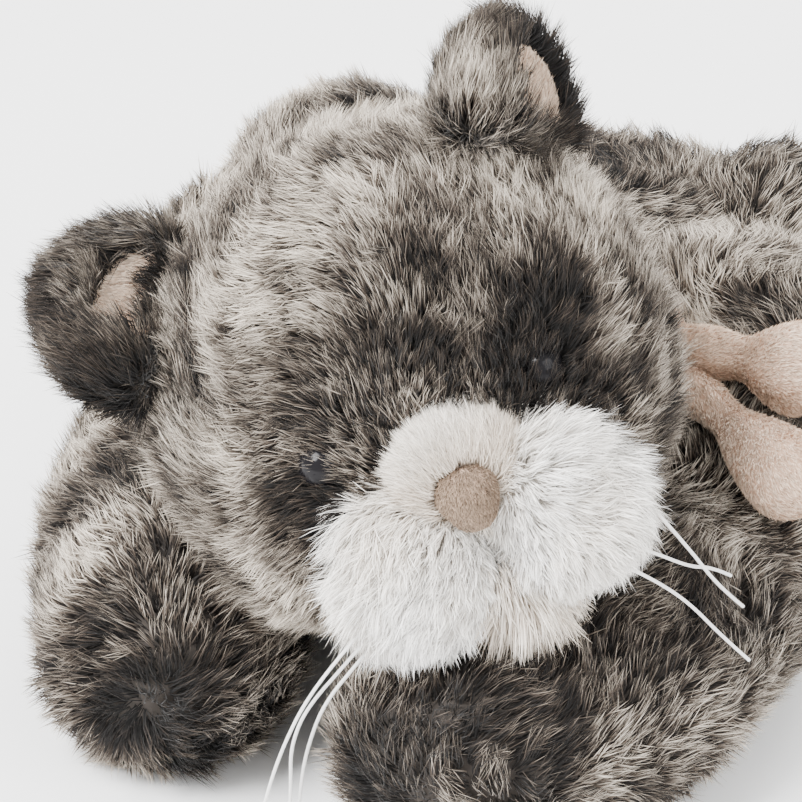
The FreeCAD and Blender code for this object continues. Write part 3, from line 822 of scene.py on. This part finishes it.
@dataclass
class Head:
    """The head: a round pelt, its fur in two halves and the eyes."""

    hairs: int
    seed: int = 11
    body: str = "head"

    def __post_init__(self) -> None:
        """Read the head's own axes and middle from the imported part."""
        self.up = np.array(JOINTS["head_turn"]["axis"])
        self.forwards = np.array(JOINTS["head_tilt"]["axis"])
        self.left = -np.array(JOINTS["head_nod"]["axis"])
        low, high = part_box("head_skin")
        self.centre = middle("head_skin")
        self.radius = max(high - low) / 2

    def sew(self, shop: Workshop) -> None:
        """Round pelt with full cheeks and a brow."""
        shape = bmesh.new()
        bmesh.ops.create_icosphere(shape, subdivisions=5, radius=self.radius)
        bmesh.ops.translate(shape, verts=shape.verts, vec=Vector(self.centre))
        pelt = finished("head_pelt", shape, shop.of(FUR_BACKING))
        where = positions(pelt.data)
        outwards = normalised(where - self.centre)
        sides = outwards @ self.left
        rise = outwards @ self.up
        cheek = np.exp(-((np.abs(sides) - 0.72) ** 2 + (rise + 0.38) ** 2) / 0.16)
        brow = np.exp(-(sides**2 + (rise - 0.45) ** 2) / 0.10) * (outwards @ self.forwards > 0)
        socket = near(where, middle("eye_left"), 10 * MM) + near(where, middle("eye_right"), 10 * MM)
        push = 4.0 * cheek + 2.5 * brow - 2.2 * socket + 1.2 * waves(where, 34 * MM, self.seed)
        where += outwards * (push * MM)[:, None]
        pelt.data.vertices.foreach_set("co", where.astype(np.float32).ravel())
        pelt.data.update()
        shop.pelts[self.body] = pelt
        shop.place(pelt, self.body, "fur_body", "head_skin")

    def patch(self, points: np.ndarray) -> np.ndarray:
        """Dark round the eyes and up the forehead, pale towards the cheeks' rims."""
        outwards = normalised(points - self.centre)
        base = 0.58 + 0.26 * waves(points, 26 * MM, 5) + 0.32 * waves(points, 10 * MM, 6)
        facing = outwards @ self.forwards
        rim = 0.25 * np.clip(0.45 - facing, 0, 1)
        eyes = near(points, middle("eye_left"), 15 * MM) + near(points, middle("eye_right"), 15 * MM)
        bridge = near(points, self.centre + self.forwards * self.radius + self.up * 8 * MM, 15 * MM)
        return np.clip(base + rim - 0.85 * np.clip(eyes, 0, 1) - 0.35 * bridge, 0, 1)

    def stretch(self, points: np.ndarray) -> np.ndarray:
        """Short hairs round the eyes and beside the muzzle."""
        eyes = near(points, middle("eye_left"), 11 * MM) + near(points, middle("eye_right"), 11 * MM)
        face = near(points, middle("muzzle_bridge"), 22 * MM)
        return 1 - 0.02 * np.clip(eyes, 0, 1) - 0.40 * face

    def plant(self, shop: Workshop) -> None:
        """Grow the fur back from the nose, the face and the back of the head apart."""
        pelt = shop.pelts[self.body]
        shown = shop.open_faces(self.body)
        centres = positions(pelt.data)[triangles_of(pelt.data)].mean(1)
        front = (centres - self.centre) @ self.forwards > 0.004
        flow = pointing_from(middle("nose_pad"), self.up * 0.25)
        for name, side, share in (("face", front, 0.55), ("nape", ~front, 0.45)):
            pile = Pile(hairs=int(self.hairs * share), length=11 * MM)
            fur = planted(
                f"head_{name}_fur", pelt, pile, flow, self.patch, shop.of(FUR),
                self.seed + len(name), shown * side, self.stretch,
            )
            shop.place(fur, self.body, "fur_body")
        for side in ("left", "right"):
            shop.keep_node("eye_" + side, EYE_GLOSS)
            shop.keep_node("eye_washer_" + side, WASHER_PLASTIC)


@dataclass
class Tuft:
    """A small stuffed piece of the face or the scarf, with its own pile."""

    node: str
    body: str
    slot: str
    backing: PlainFinish
    finish: PileFinish
    pile: Pile
    flow: Field
    seed: int
    swell: float = 0.0
    voxel: float = 2.0 * MM
    patch: Optional[Field] = None
    stretch: Optional[Field] = None
    gathered_at: Optional[np.ndarray] = None

    def sew(self, shop: Workshop) -> None:
        """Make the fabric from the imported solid."""
        pelt = finished(self.node + "_cloth", outer_shell(self.node), shop.of(self.backing))
        remeshed(pelt, self.voxel)
        if self.gathered_at is not None:
            gathered(pelt, self.gathered_at)
        if self.swell:
            inflated(pelt, self.swell)
        shop.pelts[self.node] = pelt
        shop.place(pelt, self.body, self.slot, self.node)

    def plant(self, shop: Workshop) -> None:
        """Grow the pile."""

        def even(points: np.ndarray) -> np.ndarray:
            """A pile with slight shading."""
            return 0.7 + 0.25 * waves(points, 14 * MM, self.seed)

        fur = planted(
            self.node + "_pile", shop.pelts[self.node], self.pile, self.flow, self.patch or even,
            shop.of(self.finish), self.seed, shop.open_faces(self.node, 0.2 * MM), self.stretch,
        )
        shop.place(fur, self.body, self.slot)


@dataclass
class Rim:
    """Fur of an ear's edge that hangs over part of its lining."""

    side: str
    towards: np.ndarray
    beyond: float
    hairs: int
    seed: int

    def sew(self, shop: Workshop) -> None:
        """Nothing to sew: the hairs stand on the lining's own cloth."""

    def plant(self, shop: Workshop) -> None:
        """Grow the ear's fur where the lining lies beyond a line."""
        node = f"ear_lining_{self.side}"
        cloth = shop.pelts[node]
        centres = positions(cloth.data)[triangles_of(cloth.data)].mean(1)
        covered = (centres - middle(node)) @ self.towards > self.beyond
        pile = Pile(hairs=self.hairs, length=9 * MM, width=0.32 * MM, lean_high=0.9)
        fur = planted(
            f"ear_rim_{self.side}_fur", cloth, pile, pointing(self.towards),
            coat(self.seed, base=0.25), shop.of(FUR), self.seed, covered * 1.0,
        )
        shop.place(fur, f"ear_{self.side}", "fur_body")


@dataclass
class Whiskers:
    """Waxed threads that hang from the muzzle's puffs; routes in millimetres."""

    routes: Dict[str, Sequence[Tuple[float, float, float]]]
    radius: float = 0.45 * MM

    def draw(self, shop: Workshop) -> None:
        """One smooth thread along each route."""
        for name, route in self.routes.items():
            line = bpy.data.curves.new(name + "_thread", "CURVE")
            line.dimensions = "3D"
            line.resolution_u = 12
            line.bevel_depth = self.radius / MM
            line.bevel_resolution = 2
            line.use_fill_caps = True
            spline = line.splines.new("NURBS")
            spline.points.add(len(route) - 1)
            for point, place in zip(spline.points, route):
                point.co = (*(number * MM for number in place), 1.0)
                point.radius = MM
            spline.order_u = 3
            spline.use_endpoint_u = True
            line.materials.append(shop.of(THREAD))
            piece = bpy.data.objects.new(name + "_thread", line)
            bpy.context.scene.collection.objects.link(piece)
            shop.place(piece, "head", "whisker", name)
            spline_length(piece)


def spline_length(piece: bpy.types.Object) -> float:
    """Length of a curve's centre line."""
    curve = piece.data
    depth, curve.bevel_depth = curve.bevel_depth, 0.0
    mesh = bpy.data.meshes.new_from_object(piece)
    curve.bevel_depth = depth
    line = positions(mesh)
    bpy.data.meshes.remove(mesh)
    return float(np.linalg.norm(np.diff(line, axis=0), axis=1).sum())


WHISKER_ROUTES = {
    "whisker_left_upper": (
        (67, -174.5, 104), (75.5, -169.5, 100), (81.5, -167, 91),
        (90, -163, 78.5), (96.5, -159, 67), (102, -154.5, 59.5),
    ),
    "whisker_left_middle": (
        (68, -183.5, 96.5), (75, -178, 87.5), (82, -170, 81),
        (89.5, -161.5, 73), (93.5, -154.5, 69.5), (97.5, -150, 65),
    ),
    "whisker_left_lower": (
        (66, -185.5, 94), (75, -182.5, 84.5), (82.5, -175, 77),
        (91, -168.5, 67.5), (99, -164, 56), (105.5, -160.5, 48),
    ),
    "whisker_right_outer": (
        (26, -206.5, 78.5), (16.5, -211, 65), (7, -213.5, 49.5),
        (1.5, -215, 35.5), (-2, -216, 23.5), (-5, -215.5, 11),
    ),
    "whisker_right_middle": (
        (28, -205.5, 77.5), (17, -209.5, 61), (6.5, -211.5, 46),
        (2.5, -212, 34), (2, -211, 22.5), (1.5, -211, 11),
    ),
    "whisker_right_inner": (
        (30, -205, 77.5), (19.5, -206.5, 60.5), (10, -207.5, 46),
        (6, -208.5, 33.5), (4, -209.5, 22), (3, -209, 10),
    ),
}


# ---------------------------------------------------------------- the stage


@dataclass(frozen=True)
class Studio:
    """Pale floor, soft lights and the camera; angles in degrees, lengths in metres."""

    turn: float = 18.0
    rise: float = 30.0
    distance: float = 0.9
    focus: Tuple[float, float, float] = (0.004, -0.121, 0.092)
    view_width: float = 208.312 * MM
    sensor: float = 36.0
    aside: float = 2.338 * MM
    below: float = 8.052 * MM

    def build(self) -> None:
        """Make the floor, the lights and the camera."""
        shape = bmesh.new()
        bmesh.ops.create_grid(shape, x_segments=1, y_segments=1, size=6.0)
        paper = PlainFinish("studio_paper", (0.93, 0.93, 0.93), (0.92, 0.92, 0.92), (0.8, 0.9), 3.0)
        floor = finished("floor", shape, paper.material(), smooth=False)
        world = bpy.data.worlds.new("studio")
        world.use_nodes = True
        sky = world.node_tree.nodes["Background"]
        sky.inputs[0].default_value = (1.0, 1.0, 1.0, 1.0)
        sky.inputs[1].default_value = 1.5
        bpy.context.scene.world = world
        for name, place, size, power in (
            ("key", (-0.55, -0.75, 1.1), 0.7, 62.0),
            ("fill", (0.9, -0.5, 0.8), 0.9, 13.0),
            ("back", (0.1, 0.9, 0.9), 0.8, 22.0),
        ):
            lamp = bpy.data.lights.new(name, "AREA")
            lamp.energy, lamp.size = power, size
            item = bpy.data.objects.new(name, lamp)
            item.location = place
            aim = Vector(self.focus) - Vector(place)
            item.rotation_euler = aim.to_track_quat("-Z", "Y").to_euler()
            bpy.context.scene.collection.objects.link(item)
        turn, rise = math.radians(self.turn), math.radians(self.rise)
        right = Vector((math.cos(turn), math.sin(turn), 0))
        back = Vector((math.sin(turn) * math.cos(rise), -math.cos(turn) * math.cos(rise), math.sin(rise)))
        up = back.cross(right)
        aim = Vector(self.focus) - right * self.aside - up * self.below
        lens = bpy.data.cameras.new("camera")
        lens.sensor_width = self.sensor
        lens.lens = self.sensor * self.distance / self.view_width
        lens.clip_start = 0.01
        camera = bpy.data.objects.new("camera", lens)
        camera.location = aim + back * self.distance
        camera.rotation_euler = (-back).to_track_quat("-Z", "Y").to_euler()
        bpy.context.scene.collection.objects.link(camera)
        bpy.context.scene.camera = camera


# ---------------------------------------------------------------- the build


def coat(
    seed: int,
    dark_at: Optional[Sequence[float]] = None,
    reach: float = 30 * MM,
    base: float = 0.58,
) -> Field:
    """Mottled fur, darker round one spot."""

    def patch(points: np.ndarray) -> np.ndarray:
        """How light the fur is at each position."""
        light = base + 0.26 * waves(points, 30 * MM, seed) + 0.30 * waves(points, 11 * MM, seed + 1)
        if dark_at is not None:
            light -= 0.4 * near(points, dark_at, reach)
        return np.clip(light, 0, 1)

    return patch


def paw_tip(limb: str) -> np.ndarray:
    """The foremost point of a limb's packed skin."""
    where = positions(frame["nodes"][limb + "_skin"].data)
    front = where[where[:, 1] < where[:, 1].min() + 4 * MM]
    return front.mean(0)


def limbs() -> List[Limb]:
    """The torso, the legs and the tail."""
    left_paw, right_paw = paw_tip("front_leg_left"), paw_tip("front_leg_right")
    tail_root = np.array(JOINTS["tail_swing"]["pos_m"])
    drift = (0.0, 0.35, 0.35)
    parts = [
        Limb("torso", 60000, 21, pointing((0.0, 1.0, -0.25)), coat(31)),
        Limb("front_leg_left", 62000, 22, pointing_from(left_paw, drift), coat(32, left_paw, base=0.66)),
        Limb(
            "front_leg_right", 58000, 23, pointing_from(right_paw, drift),
            coat(33, right_paw, base=0.52),
        ),
        Limb("tail", 12000, 26, pointing_from(tail_root), coat(36)),
    ]
    for side, seed in (("left", 24), ("right", 25)):
        hip = np.array(JOINTS[f"hind_leg_{side}_swing"]["pos_m"])
        lie = middle(f"hind_leg_{side}_skin") - hip
        parts.append(Limb(f"hind_leg_{side}", 28000, seed, pointing(lie * 10), coat(seed + 10)))
    return parts


def face_tufts(head: Head) -> List[Tuft]:
    """Muzzle puffs, bridge, chin and nose."""
    nose = middle("nose_pad")
    down = -head.up * 0.35
    fluff = Pile(
        hairs=15000, length=11 * MM, width=0.26 * MM, weave=Weave.LONG,
        lean_low=0.4, lean_high=1.0, spread=0.4,
        clump=0.6, clump_pitch=6 * MM, swirl=0.6, swirl_pitch=22 * MM,
    )
    velvet = Pile(
        hairs=16000, length=7 * MM, width=0.25 * MM,
        lean_low=0.5, lean_high=1.1, spread=0.35,
        clump=0.4, clump_pitch=3 * MM, swirl=0.6, swirl_pitch=20 * MM,
    )
    felt = Pile(
        hairs=7000, length=1.3 * MM, width=0.22 * MM,
        lean_low=0.8, lean_high=1.3, spread=0.3, clump=0.2, clump_pitch=2 * MM, swirl=0.3,
    )
    chin = replace(fluff, hairs=5000, length=14 * MM, lean_high=0.9, droop=0.10)

    def from_nose(points: np.ndarray) -> np.ndarray:
        """Short hairs beside the nose, long ones at the puffs' outer sides."""
        away = np.linalg.norm(points - nose, axis=1) / (30 * MM)
        below = np.clip((nose - points) @ head.up / (30 * MM), 0, 1)
        return np.clip(0.35 + 0.85 * away - 0.45 * below, 0.35, 1.3)

    tufts = [
        Tuft(
            f"muzzle_puff_{side}", "head", "fur_muzzle", WHITE_BACKING, WHITE_FUR, fluff,
            pointing_from(nose, down), seed, 1.5 * MM, stretch=from_nose,
        )
        for side, seed in (("left", 41), ("right", 42))
    ]
    tufts.append(
        Tuft(
            "muzzle_bridge", "head", "fur_muzzle", WHITE_BACKING, CREAM_PILE, velvet,
            pointing_from(nose, head.up * 0.3), 43,
        )
    )
    tufts.append(
        Tuft(
            "chin_tuft", "head", "fur_chin", WHITE_BACKING, CREAM_PILE, chin,
            pointing_from(nose, -head.up), 44,
        )
    )
    tufts.append(
        Tuft("nose_pad", "head", "nose", VELOUR_BACKING, FELT, felt, pointing(-head.up), 45, 0.0, 1.0 * MM)
    )
    return tufts


def ear_tufts() -> List[Tuft]:
    """Fur backs and velour linings of the ears."""
    fur = Pile(
        hairs=24000, length=12 * MM, width=0.32 * MM,
        lean_low=0.4, lean_high=1.0, spread=0.34, clump=0.6, swirl=0.6,
    )
    lining = Pile(
        hairs=8000, length=2.2 * MM, width=0.25 * MM,
        lean_low=0.5, lean_high=1.1, spread=0.3, clump=0.2, clump_pitch=2 * MM, swirl=0.4,
    )
    tufts = []
    for side, seed in (("left", 51), ("right", 53)):
        seam = np.array(JOINTS[f"ear_{side}_fold"]["pos_m"])
        back, cup = middle(f"ear_back_{side}"), middle(f"ear_lining_{side}")
        lie = normalised((back - seam)[None])[0]
        tufts.append(
            Tuft(
                f"ear_back_{side}", f"ear_{side}", "fur_body", FUR_BACKING, FUR, fur,
                pointing(lie), seed, 0.0, 1.6 * MM, coat(seed + 5, cup, 22 * MM, 0.40),
            )
        )
        tufts.append(
            Tuft(
                f"ear_lining_{side}", f"ear_{side}", "lining", VELOUR_BACKING, VELOUR, lining,
                pointing(lie), seed + 1, 0.0, 0.8 * MM,
            )
        )
    return tufts


def scarf_tufts() -> List[Tuft]:
    """Velour band, knot and loops."""
    knot = middle("scarf_knot")
    tufts = []
    for node, hairs, voxel, swell, seed in (
        ("scarf_band", 14000, 1.0 * MM, 0.0, 61),
        ("scarf_knot", 7000, 1.5 * MM, 1.5 * MM, 62),
        ("scarf_loop_upper", 17000, 2.0 * MM, 2.0 * MM, 63),
        ("scarf_loop_lower", 17000, 2.0 * MM, 2.0 * MM, 64),
    ):
        velour = Pile(
            hairs=hairs, length=1.8 * MM, width=0.25 * MM,
            lean_low=0.5, lean_high=1.1, spread=0.3, clump=0.2, clump_pitch=2 * MM, swirl=0.6,
        )
        tufts.append(
            Tuft(
                node, "torso", "scarf", VELOUR_BACKING, VELOUR, velour,
                pointing_from(knot), seed, swell, voxel,
                gathered_at=knot if "loop" in node else None,
            )
        )
    return tufts


def main() -> None:
    """Build the cat piece by piece, then the stage."""
    logging.basicConfig(level=logging.INFO, format="%(message)s")
    shop = Workshop()
    Studio().build()
    Whiskers(WHISKER_ROUTES).draw(shop)
    head = Head(120000)
    neck = Tuft(
        "neck_sleeve", "neck_ring", "fur_body", FUR_BACKING, FUR,
        Pile(6000, 9 * MM), pointing((0.0, 1.0, 0.0)), 71, 0.0, 3 * MM, coat(72),
    )
    rim = Rim("right", normalised((head.up - head.left * 0.5)[None])[0], 3.5 * MM, 3000, 81)
    makers = [*limbs(), head, neck, *face_tufts(head), *ear_tufts(), rim, *scarf_tufts()]
    for maker in makers:
        maker.sew(shop)
    for maker in makers:
        maker.plant(shop)
    for node in frame["nodes"]:
        if node.endswith("_filling"):
            shop.keep_node(node, FIBRE_WAD)
    shop.keep_node("pellet_bag", PELLET_CLOTH)


if __name__ == "__main__":
    main()
